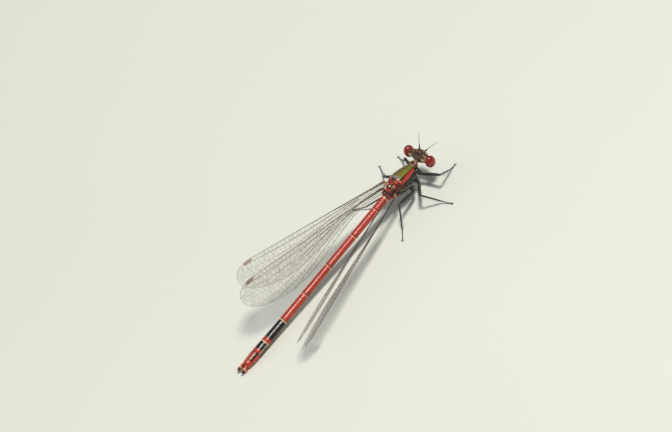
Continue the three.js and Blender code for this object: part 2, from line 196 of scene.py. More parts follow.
def unit(vector):
    vector = np.array(vector, float)
    return vector / np.linalg.norm(vector)


def smooth(value, low, high):
    """Smooth rise from 0 at low to 1 at high."""
    share = np.clip((np.asarray(value, float) - low) / (high - low), 0, 1)
    return share * share * (3 - 2 * share)


def band(value, low, high, soft):
    """1 between low and high, with soft edges."""
    return smooth(value, low - soft, low + soft) * (1 - smooth(value, high - soft, high + soft))


def spot(points, centre, radius, soft):
    """1 inside an ellipsoid of the given radii, falling to 0 outside it."""
    away = np.linalg.norm((points - np.array(centre)) / np.array(radius), axis=1)
    return 1 - smooth(away, 1 - soft, 1 + soft)


def groove(distance, width):
    """A rounded trough, 1 in its middle."""
    return np.exp(-((distance / width) ** 2))


def thorax_section(x):
    """Middle height, half width and half height of the thorax at a place along it."""
    return (np.interp(-x, -THORAX_PROFILE[:, 0], THORAX_PROFILE[:, k]) for k in (1, 2, 3))


# Making meshes
def only(piece):
    """Selects one object alone and makes it active."""
    bpy.ops.object.select_all(action="DESELECT")
    piece.select_set(True)
    bpy.context.view_layer.objects.active = piece


def mesh_object(name, points, faces):
    mesh = bpy.data.meshes.new(name)
    mesh.from_pydata([tuple(p) for p in points], [], faces)
    mesh.update()
    piece = bpy.data.objects.new(name, mesh)
    bpy.context.scene.collection.objects.link(piece)
    return piece


def ball(centre, half, turn=(0, 0, 0), segments=32, rings=20):
    """An ellipsoid, with its place in its mesh."""
    bpy.ops.mesh.primitive_uv_sphere_add(
        segments=segments, ring_count=rings, radius=1, location=tuple(centre), rotation=turn, scale=half)
    bpy.ops.object.transform_apply(location=True, rotation=True, scale=True)
    return bpy.context.object


def loft(name, rings):
    """A closed skin over rings of points that all have the same count."""
    count = len(rings[0])
    points = [p for ring in rings for p in ring]
    faces = []
    for i in range(len(rings) - 1):
        for k in range(count):
            here, beside = i * count + k, i * count + (k + 1) % count
            faces.append((here, beside, beside + count, here + count))
    faces.append(tuple(reversed(range(count))))
    faces.append(tuple(range(len(points) - count, len(points))))
    piece = mesh_object(name, points, faces)
    face_outwards(piece)
    return piece


def face_outwards(piece, merge=0.0):
    """Turns all faces outwards, once vertices closer than merge are one."""
    only(piece)
    bpy.ops.object.mode_set(mode="EDIT")
    bpy.ops.mesh.select_all(action="SELECT")
    if merge:
        bpy.ops.mesh.remove_doubles(threshold=merge)
    bpy.ops.mesh.normals_make_consistent(inside=False)
    bpy.ops.object.mode_set(mode="OBJECT")


def tubes(name, lines, sides=8):
    """Round tubes along lines of points, each point with its own radius, joined as one mesh."""
    curve = bpy.data.curves.new(name, "CURVE")
    curve.dimensions = "3D"
    curve.bevel_depth = 1
    curve.bevel_resolution = max(0, (sides - 4) // 2)
    curve.use_fill_caps = True
    for points, radii in lines:
        spline = curve.splines.new("POLY")
        spline.points.add(len(points) - 1)
        radii = np.broadcast_to(radii, len(points))
        for place, point, radius in zip(spline.points, points, radii):
            place.co = (*point, 1)
            place.radius = float(radius)
    piece = bpy.data.objects.new(name, curve)
    bpy.context.scene.collection.objects.link(piece)
    only(piece)
    bpy.ops.object.convert(target="MESH")
    piece = bpy.context.object
    face_outwards(piece, merge=0.0005)
    return piece


def curved(points, radii, steps=6):
    """A smooth line through points, with its radii, as a row of closer points."""
    points = np.array(points, float)
    radii = np.array(radii, float)
    padded = np.vstack([2 * points[0] - points[1], points, 2 * points[-1] - points[-2]])
    line, thick = [], []
    for i in range(len(points) - 1):
        a, b, c, d = padded[i:i + 4]
        for step in range(steps):
            t = step / steps
            line.append(0.5 * (2 * b + (c - a) * t + (2 * a - 5 * b + 4 * c - d) * t ** 2
                               + (3 * b - a - 3 * c + d) * t ** 3))
            thick.append(radii[i] + (radii[i + 1] - radii[i]) * smooth(t, 0, 1))
    line.append(points[-1])
    thick.append(radii[-1])
    return np.array(line), np.array(thick)


def join(name, pieces):
    bpy.ops.object.select_all(action="DESELECT")
    for piece in pieces:
        piece.select_set(True)
    bpy.context.view_layer.objects.active = pieces[0]
    bpy.ops.object.join()
    pieces[0].name = name
    pieces[0].data.name = name
    return pieces[0]


def apply_modifier(piece, kind, **settings):
    only(piece)
    modifier = piece.modifiers.new(kind.title(), kind)
    for key, value in settings.items():
        setattr(modifier, key, value)
    bpy.ops.object.modifier_apply(modifier=modifier.name)


def vertex_array(piece, what="co"):
    values = np.zeros(len(piece.data.vertices) * 3, np.float32)
    piece.data.vertices.foreach_get(what, values)
    return values.reshape(-1, 3).astype(float)


def move_vertices(piece, points):
    piece.data.vertices.foreach_set("co", points.astype(np.float32).ravel())
    piece.data.update()


def shade_smooth(piece):
    only(piece)
    bpy.ops.object.shade_smooth()


def all_over(colour, points):
    """One colour for every point."""
    return np.tile(linear(colour), (len(points), 1))


def layers(colours, *coats):
    """Lays colours over others in turn, each where its mask is 1."""
    for mask, colour in coats:
        mask = np.clip(mask, 0, 1)[:, None]
        colours = colours * (1 - mask) + linear(colour) * mask
    return colours


def paint(piece, colours, metal=0):
    """Stores each vertex's colour, with how metallic it is as alpha."""
    attribute = piece.data.color_attributes.new("Paint", "FLOAT_COLOR", "POINT")
    values = np.ones((len(colours), 4), np.float32)
    values[:, :3] = colours
    values[:, 3] = metal
    attribute.data.foreach_set("color", values.ravel())


def settle(piece, material, slot, *nodes):
    """Sets a piece that was made in millimetres into the frame, gives it its material and smooth shading,
    attaches it under the root and hides the parts given as nodes.
    """
    piece.data.transform(Matrix.Translation(HOME) @ Matrix.Scale(MM, 4))
    piece.data.materials.clear()
    piece.data.materials.append(material)
    shade_smooth(piece)
    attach(piece, "root")
    if nodes:
        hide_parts(*nodes)
    return piece


# Materials
def add_node(tree, kind, **inputs):
    node = tree.nodes.new(kind)
    for key, value in inputs.items():
        node.inputs[key.replace("_", " ")].default_value = value
    return node


def add_pattern(tree, kind, **inputs):
    """A texture node that follows Object coordinates."""
    pattern = add_node(tree, kind, **inputs)
    where = tree.nodes.new("ShaderNodeTexCoord")
    tree.links.new(where.outputs["Object"], pattern.inputs["Vector"])
    return pattern


def make_grain_group():
    """Fine grain of cuticle: a mask of blotches and a normal with shallow pits."""
    tree = bpy.data.node_groups.new("Cuticle grain", "ShaderNodeTree")
    for name, kind in (("Scale", "NodeSocketFloat"), ("Depth", "NodeSocketFloat")):
        tree.interface.new_socket(name, in_out="INPUT", socket_type=kind)
    for name, kind in (("Blotches", "NodeSocketFloat"), ("Normal", "NodeSocketVector")):
        tree.interface.new_socket(name, in_out="OUTPUT", socket_type=kind)
    inside = tree.nodes.new("NodeGroupInput")
    outside = tree.nodes.new("NodeGroupOutput")
    blotches = add_pattern(tree, "ShaderNodeTexNoise", Detail=4.0, Roughness=0.6)
    pits = add_pattern(tree, "ShaderNodeTexVoronoi")
    finer = tree.nodes.new("ShaderNodeMath")
    finer.operation = "MULTIPLY"
    finer.inputs[1].default_value = 11.0
    bump = add_node(tree, "ShaderNodeBump", Distance=0.00002)
    link = tree.links.new
    link(inside.outputs["Scale"], blotches.inputs["Scale"])
    link(inside.outputs["Scale"], finer.inputs[0])
    link(finer.outputs[0], pits.inputs["Scale"])
    link(pits.outputs["Distance"], bump.inputs["Height"])
    link(inside.outputs["Depth"], bump.inputs["Strength"])
    link(blotches.outputs["Fac"], outside.inputs["Blotches"])
    link(bump.outputs["Normal"], outside.inputs["Normal"])
    return tree


GRAIN = make_grain_group()


def new_material(name):
    material = bpy.data.materials.new(name)
    material.use_nodes = True
    tree = material.node_tree
    shader = tree.nodes["Principled BSDF"]
    return material, tree, shader


def add_grain(tree, shader, scale, depth, rough):
    """Grain in a material's normal, with roughness that varies between two values."""
    grain = tree.nodes.new("ShaderNodeGroup")
    grain.node_tree = GRAIN
    grain.inputs["Scale"].default_value = scale
    grain.inputs["Depth"].default_value = depth
    spread = add_node(tree, "ShaderNodeMapRange", To_Min=rough[0], To_Max=rough[1])
    tree.links.new(grain.outputs["Blotches"], spread.inputs["Value"])
    tree.links.new(spread.outputs["Result"], shader.inputs["Roughness"])
    tree.links.new(grain.outputs["Normal"], shader.inputs["Normal"])
    return grain


def blend_colours(tree, share, first, second):
    mix = tree.nodes.new("ShaderNodeMix")
    mix.data_type = "RGBA"
    for socket, value in ((mix.inputs[0], share), (mix.inputs[6], first), (mix.inputs[7], second)):
        if isinstance(value, bpy.types.NodeSocket):
            tree.links.new(value, socket)
        elif isinstance(value, (int, float)):
            socket.default_value = value
        else:
            socket.default_value = (*linear(value), 1)
    return mix.outputs[2]


def shade_paint(tree, shader, share):
    """The painted vertices' colours, made lighter or darker by a share, as the base colour."""
    marks = tree.nodes.new("ShaderNodeAttribute")
    marks.attribute_name = "Paint"
    shaded = tree.nodes.new("ShaderNodeVectorMath")
    shaded.operation = "SCALE"
    tree.links.new(marks.outputs["Color"], shaded.inputs[0])
    tree.links.new(share, shaded.inputs["Scale"])
    tree.links.new(shaded.outputs[0], shader.inputs["Base Color"])
    return marks


def painted_cuticle():
    """Glossy cuticle that takes its markings from the painted vertices."""
    material, tree, shader = new_material("Painted cuticle")
    grain = add_grain(tree, shader, GRAIN_SCALE, 0.2, (0.28, 0.44))
    shade = add_node(tree, "ShaderNodeMapRange", From_Min=0.3, From_Max=0.7, To_Min=0.72, To_Max=1.12)
    tree.links.new(grain.outputs["Blotches"], shade.inputs["Value"])
    marks = shade_paint(tree, shader, shade.outputs["Result"])
    tree.links.new(marks.outputs["Alpha"], shader.inputs["Metallic"])
    shader.inputs["Coat Weight"].default_value = 0.35
    shader.inputs["Coat Roughness"].default_value = 0.2
    return material


def plain_cuticle(name, dark, light, rough=(0.25, 0.45), scale=GRAIN_SCALE, coat=0.2):
    """Cuticle without markings, mottled between two colours."""
    material, tree, shader = new_material(name)
    grain = add_grain(tree, shader, scale, 0.3, rough)
    colour = blend_colours(tree, grain.outputs["Blotches"], dark, light)
    tree.links.new(colour, shader.inputs["Base Color"])
    shader.inputs["Coat Weight"].default_value = coat
    return material


def eye_material():
    """Compound eye: tiny facets with darker rims over the painted colours."""
    material, tree, shader = new_material("Compound eye")
    facets = add_pattern(tree, "ShaderNodeTexVoronoi", Scale=26000.0)
    bump = add_node(tree, "ShaderNodeBump", Strength=0.35, Distance=0.00001)
    tree.links.new(facets.outputs["Distance"], bump.inputs["Height"])
    tree.links.new(bump.outputs["Normal"], shader.inputs["Normal"])
    rims = add_node(tree, "ShaderNodeMapRange", From_Min=0.0, From_Max=0.5, To_Min=1.1, To_Max=0.7)
    tree.links.new(facets.outputs["Distance"], rims.inputs["Value"])
    shade_paint(tree, shader, rims.outputs["Result"])
    shader.inputs["Roughness"].default_value = 0.2
    shader.inputs["Coat Weight"].default_value = 0.5
    shader.inputs["Coat Roughness"].default_value = 0.06
    return material


def membrane_material():
    """Clear wing membrane with a faint smoky tint that varies from cell to cell."""
    material, tree, shader = new_material("Wing membrane")
    cells = add_pattern(tree, "ShaderNodeTexVoronoi", Scale=1900.0)
    tint = blend_colours(tree, cells.outputs["Distance"], (206, 200, 180), (150, 140, 116))
    tree.links.new(tint, shader.inputs["Base Color"])
    veil = add_node(tree, "ShaderNodeMapRange", To_Min=0.07, To_Max=0.15)
    tree.links.new(cells.outputs["Distance"], veil.inputs["Value"])
    tree.links.new(veil.outputs["Result"], shader.inputs["Alpha"])
    wrinkle = add_node(tree, "ShaderNodeBump", Strength=0.25, Distance=0.00003)
    tree.links.new(cells.outputs["Distance"], wrinkle.inputs["Height"])
    tree.links.new(wrinkle.outputs["Normal"], shader.inputs["Normal"])
    shader.inputs["Roughness"].default_value = 0.12
    shader.inputs["IOR"].default_value = 1.5
    return material


def floor_material():
    material, tree, shader = new_material("Pale floor")
    clouds = add_pattern(tree, "ShaderNodeTexNoise", Scale=12.0, Detail=3.0)
    tint = blend_colours(tree, clouds.outputs["Fac"], (222, 226, 214), (232, 234, 226))
    tree.links.new(tint, shader.inputs["Base Color"])
    shader.inputs["Roughness"].default_value = 0.8
    return material


# Abdomen's middle line and a point's place along and round it
def abdomen_point(share):
    share = np.asarray(share, float)
    first, second = ABDOMEN_SWING
    return np.stack([
        ABDOMEN_START[0] - ABDOMEN_REACH * share,
        ABDOMEN_START[1] + first * share + second * share ** 2,
        ABDOMEN_START[2] - ABDOMEN_DROP * (1 - np.clip(1 - share, 0, None) ** ABDOMEN_SAG),
    ], axis=-1)


def abdomen_axes(share):
    """Directions back, sideways to the animal's left, and up, at a share of the abdomen."""
    step = 0.01
    back = abdomen_point(np.minimum(share + step, 1)) - abdomen_point(np.maximum(share - step, 0))
    back /= np.linalg.norm(back, axis=-1, keepdims=True)
    left = np.cross(back, np.array([0, 0, 1.0]))
    left /= np.linalg.norm(left, axis=-1, keepdims=True)
    left *= np.sign(left[..., 1:2])
    up = np.cross(back, left)
    up *= np.sign(up[..., 2:3])
    return back, left, up


def along_abdomen(points):
    """Share along the abdomen, and angle round it with 0 on top and pi below."""
    share = (ABDOMEN_START[0] - points[:, 0]) / ABDOMEN_REACH
    for _ in range(2):
        near = np.clip(share, 0, 1)
        back, left, up = abdomen_axes(near)
        share = near + np.sum((points - abdomen_point(near)) * back, axis=1) / ABDOMEN_LENGTH
    out = points - abdomen_point(np.clip(share, 0, 1))
    angle = np.arctan2(np.sum(out * left, axis=1), np.sum(out * up, axis=1))
    return share, angle


def segment_place(share):
    """Index of the segment and the millimetres to its front and rear joint."""
    index = np.searchsorted(SEGMENT_ENDS, np.clip(share, 0, 0.9999), side="right")
    starts = np.concatenate([[0], SEGMENT_ENDS[:-1]])
    from_front = (share - starts[index]) * ABDOMEN_LENGTH
    to_rear = (SEGMENT_ENDS[index] - share) * ABDOMEN_LENGTH
    return index, from_front, to_rear


def abdomen_half_width(share):
    """Half width along the abdomen, with a low collar before each rear joint."""
    middles = np.concatenate([[0], SEGMENT_ENDS - SEGMENT_LENGTHS / ABDOMEN_LENGTH / 2, [1]])
    widths = np.concatenate([[0.6], SEGMENT_HALF_WIDTHS, [0.46]])
    base = np.interp(share, middles, widths)
    _, from_front, to_rear = segment_place(np.asarray(share, float))
    collar = 0.035 * np.exp(-((to_rear - 0.12) / 0.14) ** 2)
    joint = 0.07 * np.exp(-(np.minimum(from_front, to_rear) / 0.05) ** 2)
    fade = 1 - 0.25 * smooth(share, 0.985, 1)
    return (base + collar - joint) * fade


def build_abdomen():
    rings = []
    for share in np.linspace(0, 1, 520):
        half = float(abdomen_half_width(share))
        _, left, up = abdomen_axes(np.array(share))
        centre = abdomen_point(share)
        ring = []
        for angle in np.linspace(0, 2 * math.pi, 40, endpoint=False):
            below = max(0.0, -math.cos(angle)) ** 6
            reach = half * (1 - 0.1 * below)
            ring.append(centre + left * math.sin(angle) * reach + up * math.cos(angle) * reach)
        rings.append(ring)
    return loft("abdomen", rings)


def build_thorax():
    """Thorax lofted through its profile, with full, slightly square flanks."""
    rings = []
    for x in np.linspace(THORAX_PROFILE[0, 0], THORAX_PROFILE[-1, 0], 60):
        middle, wide, high = thorax_section(x)
        ring = []
        for angle in np.linspace(0, 2 * math.pi, 48, endpoint=False):
            across = math.copysign(abs(math.cos(angle)) ** 0.9, math.cos(angle)) * wide
            upward = math.copysign(abs(math.sin(angle)) ** 0.9, math.sin(angle)) * high
            ring.append((x, across, middle + upward))
        rings.append(ring)
    return loft("thorax", rings)


def build_head_parts():
    """Bar between the eyes with its crown, brow, nose, lip, jaws, cheeks, nape and simple eyes."""
    x, y, z = HEAD
    parts = [
        ball(HEAD, (0.62, 1.7, 0.72), segments=48, rings=32),
        ball((x + 0.02, y, z + 0.4), (0.46, 0.7, 0.34)),
        ball((x + 0.4, y, z + 0.24), (0.34, 0.66, 0.4)),
        ball((x + 0.6, y, z - 0.08), (0.26, 0.54, 0.2)),
        ball((x + 0.6, y, z - 0.3), (0.18, 0.44, 0.12)),
        ball((x + 0.54, y, z - 0.5), (0.22, 0.48, 0.18)),
        ball((x + 0.2, y, z - 0.66), (0.38, 0.5, 0.3)),
        ball((x - 0.4, y, z - 0.02), (0.34, 0.9, 0.5)),
        ball((x + 0.26, y, z + 0.7), (0.1, 0.12, 0.09)),
    ]
    for side in (1, -1):
        parts.append(ball((x + 0.04, y + side * 0.26, z + 0.73), (0.12, 0.1, 0.09)))
        parts.append(ball((x + 0.58, y + side * 0.42, z + 0.4), (0.17, 0.17, 0.15)))
        parts.append(ball((x + 0.34, y + side * 0.4, z - 0.62), (0.26, 0.18, 0.32), (0.3 * side, 0, 0)))
        parts.append(ball((x + 0.34, y + side * 0.84, z - 0.14), (0.26, 0.2, 0.46)))
        parts.append(ball((x - 0.32, y + side * 0.92, z + 0.24), (0.34, 0.5, 0.36)))
        parts.append(ball((x + 0.0, y + side * 0.72, z + 0.5), (0.36, 0.3, 0.24)))
    return parts


def build_neck():
    """Narrow neck and the prothorax, with its front collar, two side lobes, raised hind edge and base."""
    parts = [
        ball((2.95, 0, 3.62), (0.42, 0.28, 0.3)),
        ball((2.68, 0, 3.57), (0.17, 0.46, 0.4)),
        ball((2.44, 0, 3.46), (0.3, 0.56, 0.56)),
        ball((2.2, 0, 3.54), (0.13, 0.46, 0.5), (0, -0.3, 0)),
        ball((2.4, 0, 2.96), (0.36, 0.4, 0.3)),
    ]
    for side in (1, -1):
        parts.append(ball((2.44, side * 0.34, 3.66), (0.24, 0.26, 0.28)))
    return parts


def build_wing_bosses():
    """Low domes and plates between the wing roots, and a knob by each root."""
    parts = [
        ball((-1.32, 0, 4.5), (0.34, 0.3, 0.22)),
        ball((-1.78, 0, 4.38), (0.2, 0.24, 0.22), (0, -0.35, 0)),
        ball((-2.12, 0, 3.94), (0.24, 0.26, 0.26)),
    ]
    for side in (1, -1):
        parts += [
            ball((-0.98, side * 0.5, 4.5), (0.36, 0.3, 0.22), (0.5 * -side, 0, 0)),
            ball((-1.62, side * 0.46, 4.34), (0.34, 0.24, 0.24), (0.4 * -side, 0, 0.3 * side)),
            ball((-1.9, side * 0.6, 4.46), (0.16, 0.12, 0.14)),
            ball((-2.12, side * 0.42, 3.86), (0.28, 0.22, 0.22), (0.4 * -side, 0, 0.3 * side)),
            ball((-2.2, side * 0.8, 3.6), (0.24, 0.18, 0.2)),
        ]
    return parts


def build_hips():
    """Two rounded hip pieces above each leg."""
    parts = []
    for places in LEGS.values():
        hip, thigh = np.array(places[0]), np.array(places[1])
        inner = hip + (hip - thigh) * 0.2 + np.array([0, 0, 0.34])
        parts.append(ball((hip + inner) / 2, (0.33, 0.27, 0.42)))
        parts.append(ball(inner * (1, 0.85, 1) + np.array([-0.05, 0, 0.16]), (0.38, 0.32, 0.3)))
    return parts


def thorax_angle(points):
    """Angle from the top of the thorax down its side, in degrees."""
    middle, wide, high = thorax_section(points[:, 0])
    return np.degrees(np.arctan2(np.abs(points[:, 1]) / wide, (points[:, 2] - middle) / high))


def ripple(points, size):
    """Slow, even ripples through space, between -1 and 1."""
    a, b, c = (points / size).T
    return (np.sin(a * 1.3 + 2.1 * np.sin(b * 0.9)) + np.sin(b * 1.7 + 1.9 * np.sin(c * 1.1))
            + np.sin(c * 1.5 + 2.3 * np.sin(a * 0.8))) / 3


def carve_skin(points, normals):
    """Seams, keel, folds and wrinkles, as moves along the normals."""
    x, y, z = points.T
    wide = np.abs(y)
    down = thorax_angle(points)
    trunk = band(x, -2.2, 1.95, 0.15)
    rise = 0.07 * groove(down, 3.5) * trunk * smooth(x, -0.8, -0.4)
    rise -= 0.06 * groove(down - 64, 2.6) * trunk * smooth(x, -1.3, -1.0)
    rise -= 0.05 * groove(down - 35 + 3 * x, 2.2) * trunk * smooth(x, -0.9, -0.6)
    for foot in (0.75, -0.55):
        slant = x - foot + 0.55 * (z - 3.0)
        rise -= 0.06 * groove(slant, 0.055) * trunk * smooth(down, 64, 78)
    rise += 0.06 * groove(x + 0.72 + 0.35 * wide, 0.07) * trunk * (1 - smooth(down, 40, 60))
    rise -= 0.05 * groove(x + 0.86 + 0.3 * wide, 0.05) * trunk * (1 - smooth(down, 50, 70))
    between = band(x, -2.2, -0.9, 0.1) * (1 - smooth(down, 70, 90))
    for place in WING_SEAMS:
        rise -= 0.05 * groove(x - place + 0.18 * np.cos(wide * 5), 0.045) * between
    rise -= 0.04 * groove(wide - 0.27, 0.04) * between
    rise += 0.012 * ripple(points, 0.13) * trunk
    share, angle = along_abdomen(points)
    side = np.abs(angle)
    tail = smooth(share, 0.0, 0.01)
    index, from_front, _ = segment_place(share)
    rise -= 0.025 * groove(side - 2.2, 0.1) * tail
    rise += 0.012 * groove(side, 0.09) * tail * (index >= 1)
    rise -= 0.014 * groove(from_front - 0.2, 0.05) * tail * (index >= 1)
    rise += 0.006 * ripple(points, 0.09) * tail
    head = smooth(x, 3.0, 3.1)
    front, up = x - HEAD[0], z - HEAD[2]
    top = smooth(up, 0.3, 0.5)
    rise -= 0.05 * groove(front - 0.36 + 0.15 * wide, 0.05) * head * top * (1 - smooth(wide, 0.7, 0.9))
    rise -= 0.05 * groove(front + 0.22 + 0.12 * wide, 0.05) * head * top * (1 - smooth(wide, 0.9, 1.1))
    rise -= 0.04 * groove(wide - 0.62 - 0.2 * front, 0.05) * head * top
    face = smooth(front, 0.4, 0.6)
    for place in (0.06, -0.21, -0.37):
        rise -= 0.05 * groove(up - place, 0.04) * head * face
    rise -= 0.03 * groove(wide, 0.05) * head * face * smooth(up, 0.1, 0.2)
    rise += 0.008 * ripple(points, 0.08) * head
    neck = band(x, 2.15, 2.75, 0.05)
    for place in (2.6, 2.28):
        rise -= 0.025 * groove(x - place, 0.04) * neck
    rise -= 0.03 * groove(y, 0.04) * neck * smooth(z, 3.6, 3.8)
    return points + normals * rise[:, None]


def paint_thorax(colours, metal, points):
    """Gold-green back, brighter on the right half and with a grey patch at its rear as painted sheen, red
    shoulder stripes, black flanks with a thin olive line, red wing area.
    """
    x, y, z = points.T
    wide = np.abs(y)
    down = thorax_angle(points)
    trunk = smooth(-x, -2.15, -2.0) * (1 - smooth(-x, 2.36, 2.5))
    back = trunk * (1 - smooth(down, 29, 33)) * smooth(x, -0.8, -0.7)
    # GREEN_GOLD is the back's own colour; its rise from the dimmer left half to full strength on the right
    # half is painted sheen.
    gold_and_painted_sheen = smooth(-y, -0.06, 0.1) * 0.6 + 0.4
    speckle = 0.5 + 0.5 * ripple(points, 0.05)
    # Grey patch over the rear of the back: a painted sheen.
    sheen = back * (1 - smooth(x, -0.6, -0.15))
    stripe = trunk * band(down, 44 - 7 * smooth(x, -0.9, 0.9), 62, 1.8) * smooth(x, -0.95, -0.8)
    stripe *= 1 - smooth(x, 1.75, 2.0)
    flank = z - 3.2 + 0.36 * (x + 0.42)
    line = band(flank, -0.07, 0.07, 0.03) * band(x, -1.4, 0.35, 0.2) * smooth(down, 72, 80)
    low = smooth(down, 128, 142) * trunk
    edge = x + 0.45 * np.minimum(z - 4.4, 0)
    roots = trunk * (1 - smooth(edge, -1.0, -0.86)) * (1 - smooth(down, 78, 83))
    colours = layers(
        colours,
        (trunk, INK),
        (back, BRONZE),
        (back * gold_and_painted_sheen * (0.75 + 0.25 * speckle), GREEN_GOLD),
        (sheen * 0.85, GREY_SHEEN),
        (back * groove(y, 0.03) * smooth(x, -0.3, 0.1), INK),
        (stripe, BRIGHT_RED),
        (stripe * 0.3 * speckle, ROSE),
        (stripe * groove(down - 51, 3) * 0.35, ROSE),
        (line * trunk * 0.9, OLIVE),
        (low * 0.15, BROWN),
        (roots, DEEP_RED),
    )
    for centre, radius, colour in WING_AREA_MARKS:
        mark = spot(np.abs(points), centre, radius, 0.25) * (x < 0)
        colours = layers(colours, (mark * trunk, colour))
    for place in WING_SEAMS:
        seam = groove(x - place + 0.18 * np.cos(wide * 5), 0.05) * roots
        colours = layers(colours, (seam * 0.8, INK))
    return colours, np.maximum(metal * (1 - trunk), 0.35 * back)


def paint_abdomen(colours, metal, points):
    """Red rings with dark joints and a dark middle line, and black on top of the seventh and eighth."""
    share, angle = along_abdomen(points)
    tail = smooth(-points[:, 0], 2.45, 2.6)
    index, from_front, to_rear = segment_place(share)
    side = np.abs(angle)
    first, seventh, eighth, ninth, tenth = (index == number for number in (0, 6, 7, 8, 9))
    late = (index >= 2) & (index <= 5)
    middle_line = groove(side, 0.07) * (index >= 1) * (index <= 5)
    red = layers(
        all_over(RED, points),
        (smooth(side, 1.55, 2.4) * 0.7, OLIVE),
        (0.35 * (1 - smooth(side, 0.3, 1.0)), BRIGHT_RED),
        (middle_line * 0.55 * smooth(from_front, 0.2, 0.6), DEEP_RED),
        (late * (1 - smooth(to_rear, 0.3, 0.9)) * smooth(side, 0.9, 1.5) * 0.8, BROWN),
        ((index >= 1) * groove(to_rear - 0.02, 0.05) * 0.8, INK),
        (late * band(from_front, 0.07, 0.19, 0.03), PALE_ROSE),
        (first * (1 - smooth(side, 0.7, 1.1)), DEEP_RED),
        (first * (1 - smooth(to_rear, 0.1, 0.25)), CREAM),
        ((seventh | eighth) * (1 - smooth(side, 1.9, 2.3)), INK),
        (seventh * (1 - smooth(to_rear, 0.35, 0.75)) * (1 - smooth(side, 1.3, 1.9)) * 0.9, RED),
        ((seventh | eighth) * band(from_front, 0.0, 0.17, 0.03), CREAM),
        (eighth * (1 - smooth(to_rear, 0.35, 0.55)) * (1 - smooth(side, 0.9, 1.3)), BRIGHT_RED),
        (eighth * groove(side - 1.25, 0.12), CREAM),
        (ninth * band(side, 0.45, 1.0, 0.1), INK),
        (ninth * groove(side - 0.42, 0.08) * smooth(from_front, 0.3, 0.5), CREAM),
        (ninth * band(from_front, 0.0, 0.1, 0.03), INK),
        (tenth * (1 - smooth(to_rear, 0.05, 0.22)) * (1 - smooth(side, 0.5, 0.9)), INK),
    )
    mask = tail[:, None]
    return colours * (1 - mask) + red * mask, metal * (1 - tail)


def paint_head(colours, metal, points):
    """Bronze-black head with a brown brow, yellow lip and cheeks, and a pale painted highlight at the hind
    edge behind each eye.
    """
    x, y, z = points.T
    wide = np.abs(y)
    front, up = x - HEAD[0], z - HEAD[2]
    head = smooth(x, 3.0, 3.1)
    top = head * smooth(up, 0.2, 0.45)
    blotch = smooth(ripple(points, 0.16), 0.0, 0.5)
    brow = head * band(front, 0.36, 0.56, 0.06) * smooth(up, 0.1, 0.3) * (1 - smooth(wide, 0.6, 0.8))
    face = head * smooth(front, 0.42, 0.56)
    lip_line = head * smooth(front, 0.5, 0.6) * band(up, -0.46, -0.38, 0.03)
    cheek = spot(np.abs(points), (4.1, 0.9, 3.5), (0.26, 0.22, 0.42), 0.25)
    colours = layers(
        colours,
        (head, BRONZE),
        (head * (1 - smooth(up, -0.5, -0.1)), INK),
        (top * blotch * 0.75, BROWN),
        (top * groove(wide - 0.5, 0.2) * band(front, -0.2, 0.3, 0.08) * 0.6, DEEP_RED),
        (top * (1 - smooth(wide, 0.35, 0.6)) * band(front, -0.3, 0.3, 0.1) * 0.8, INK),
        (brow * 0.7, BROWN),
        # Pale cream mark behind each eye: a painted highlight.
        (head * spot(np.abs(points), (3.16, 1.0, 4.06), (0.16, 0.34, 0.16), 0.3), CREAM),
        (face * band(up, -0.2, 0.06, 0.03), INK),
        (face * band(up, -0.36, -0.22, 0.03), YELLOW),
        (head * smooth(front, 0.38, 0.5) * band(up, -0.64, -0.4, 0.03), YELLOW),
        (lip_line * (1 - smooth(wide, 0.1, 0.3)), INK),
        (head * cheek, YELLOW),
    )
    for centre in ((3.98, 0, 4.46), (3.76, 0.27, 4.48)):
        lens = spot(np.stack([x, wide, z], axis=1), centre, (0.09, 0.08, 0.1), 0.3)
        colours = layers(colours, (lens * head, ROSE))
    return colours, np.maximum(metal, 0.25 * head) * (1 - cheek)


def paint_neck(colours, metal, points):
    """Brown neck and prothorax with rosy lobes, pale edges and sides, and a dark middle line."""
    x, y, z = points.T
    neck = band(x, 2.06, 3.02, 0.03)
    top = smooth(z, 3.5, 3.7)
    patch = spot(np.abs(points), (2.5, 0.5, 3.22), (0.17, 0.2, 0.15), 0.3)
    colours = layers(
        colours,
        (neck, BROWN),
        (neck * (1 - smooth(z, 3.1, 3.4)), INK),
        (neck * band(x, 2.3, 2.6, 0.04) * top * 0.7, DEEP_RED),
        (neck * groove(np.abs(y) - 0.36, 0.09) * band(x, 2.34, 2.56, 0.04) * top * 0.8, ROSE),
        (neck * groove(y, 0.05) * top * 0.8, INK),
        (neck * band(x, 2.1, 2.22, 0.03) * smooth(z, 3.7, 3.9) * 0.8, CREAM),
        (neck * band(x, 2.64, 2.76, 0.03) * top * 0.6, CREAM),
        (neck * patch * 0.9, CREAM),
        (neck * groove(x - 2.62, 0.04), INK),
        (neck * groove(x - 2.28, 0.04), INK),
    )
    return colours, metal * (1 - neck)


def build_skin():
    """One skin over head, neck, thorax, hips and abdomen."""
    pieces = [build_abdomen(), build_thorax()]
    pieces += build_head_parts() + build_neck() + build_wing_bosses() + build_hips()
    skin = join("body_skin", pieces)
    apply_modifier(skin, "REMESH", mode="VOXEL", voxel_size=SKIN_VOXEL, adaptivity=0.0)
    apply_modifier(skin, "SMOOTH", factor=0.5, iterations=3)
    move_vertices(skin, carve_skin(vertex_array(skin), vertex_array(skin, "normal")))
    points = vertex_array(skin)
    points[:, 2] = np.maximum(points[:, 2], 0)
    move_vertices(skin, points)
    colours = np.zeros_like(points)
    metal = np.zeros(len(points))
    for coat in (paint_thorax, paint_neck, paint_head, paint_abdomen):
        colours, metal = coat(colours, metal, points)
    paint(skin, colours, metal)
    return skin


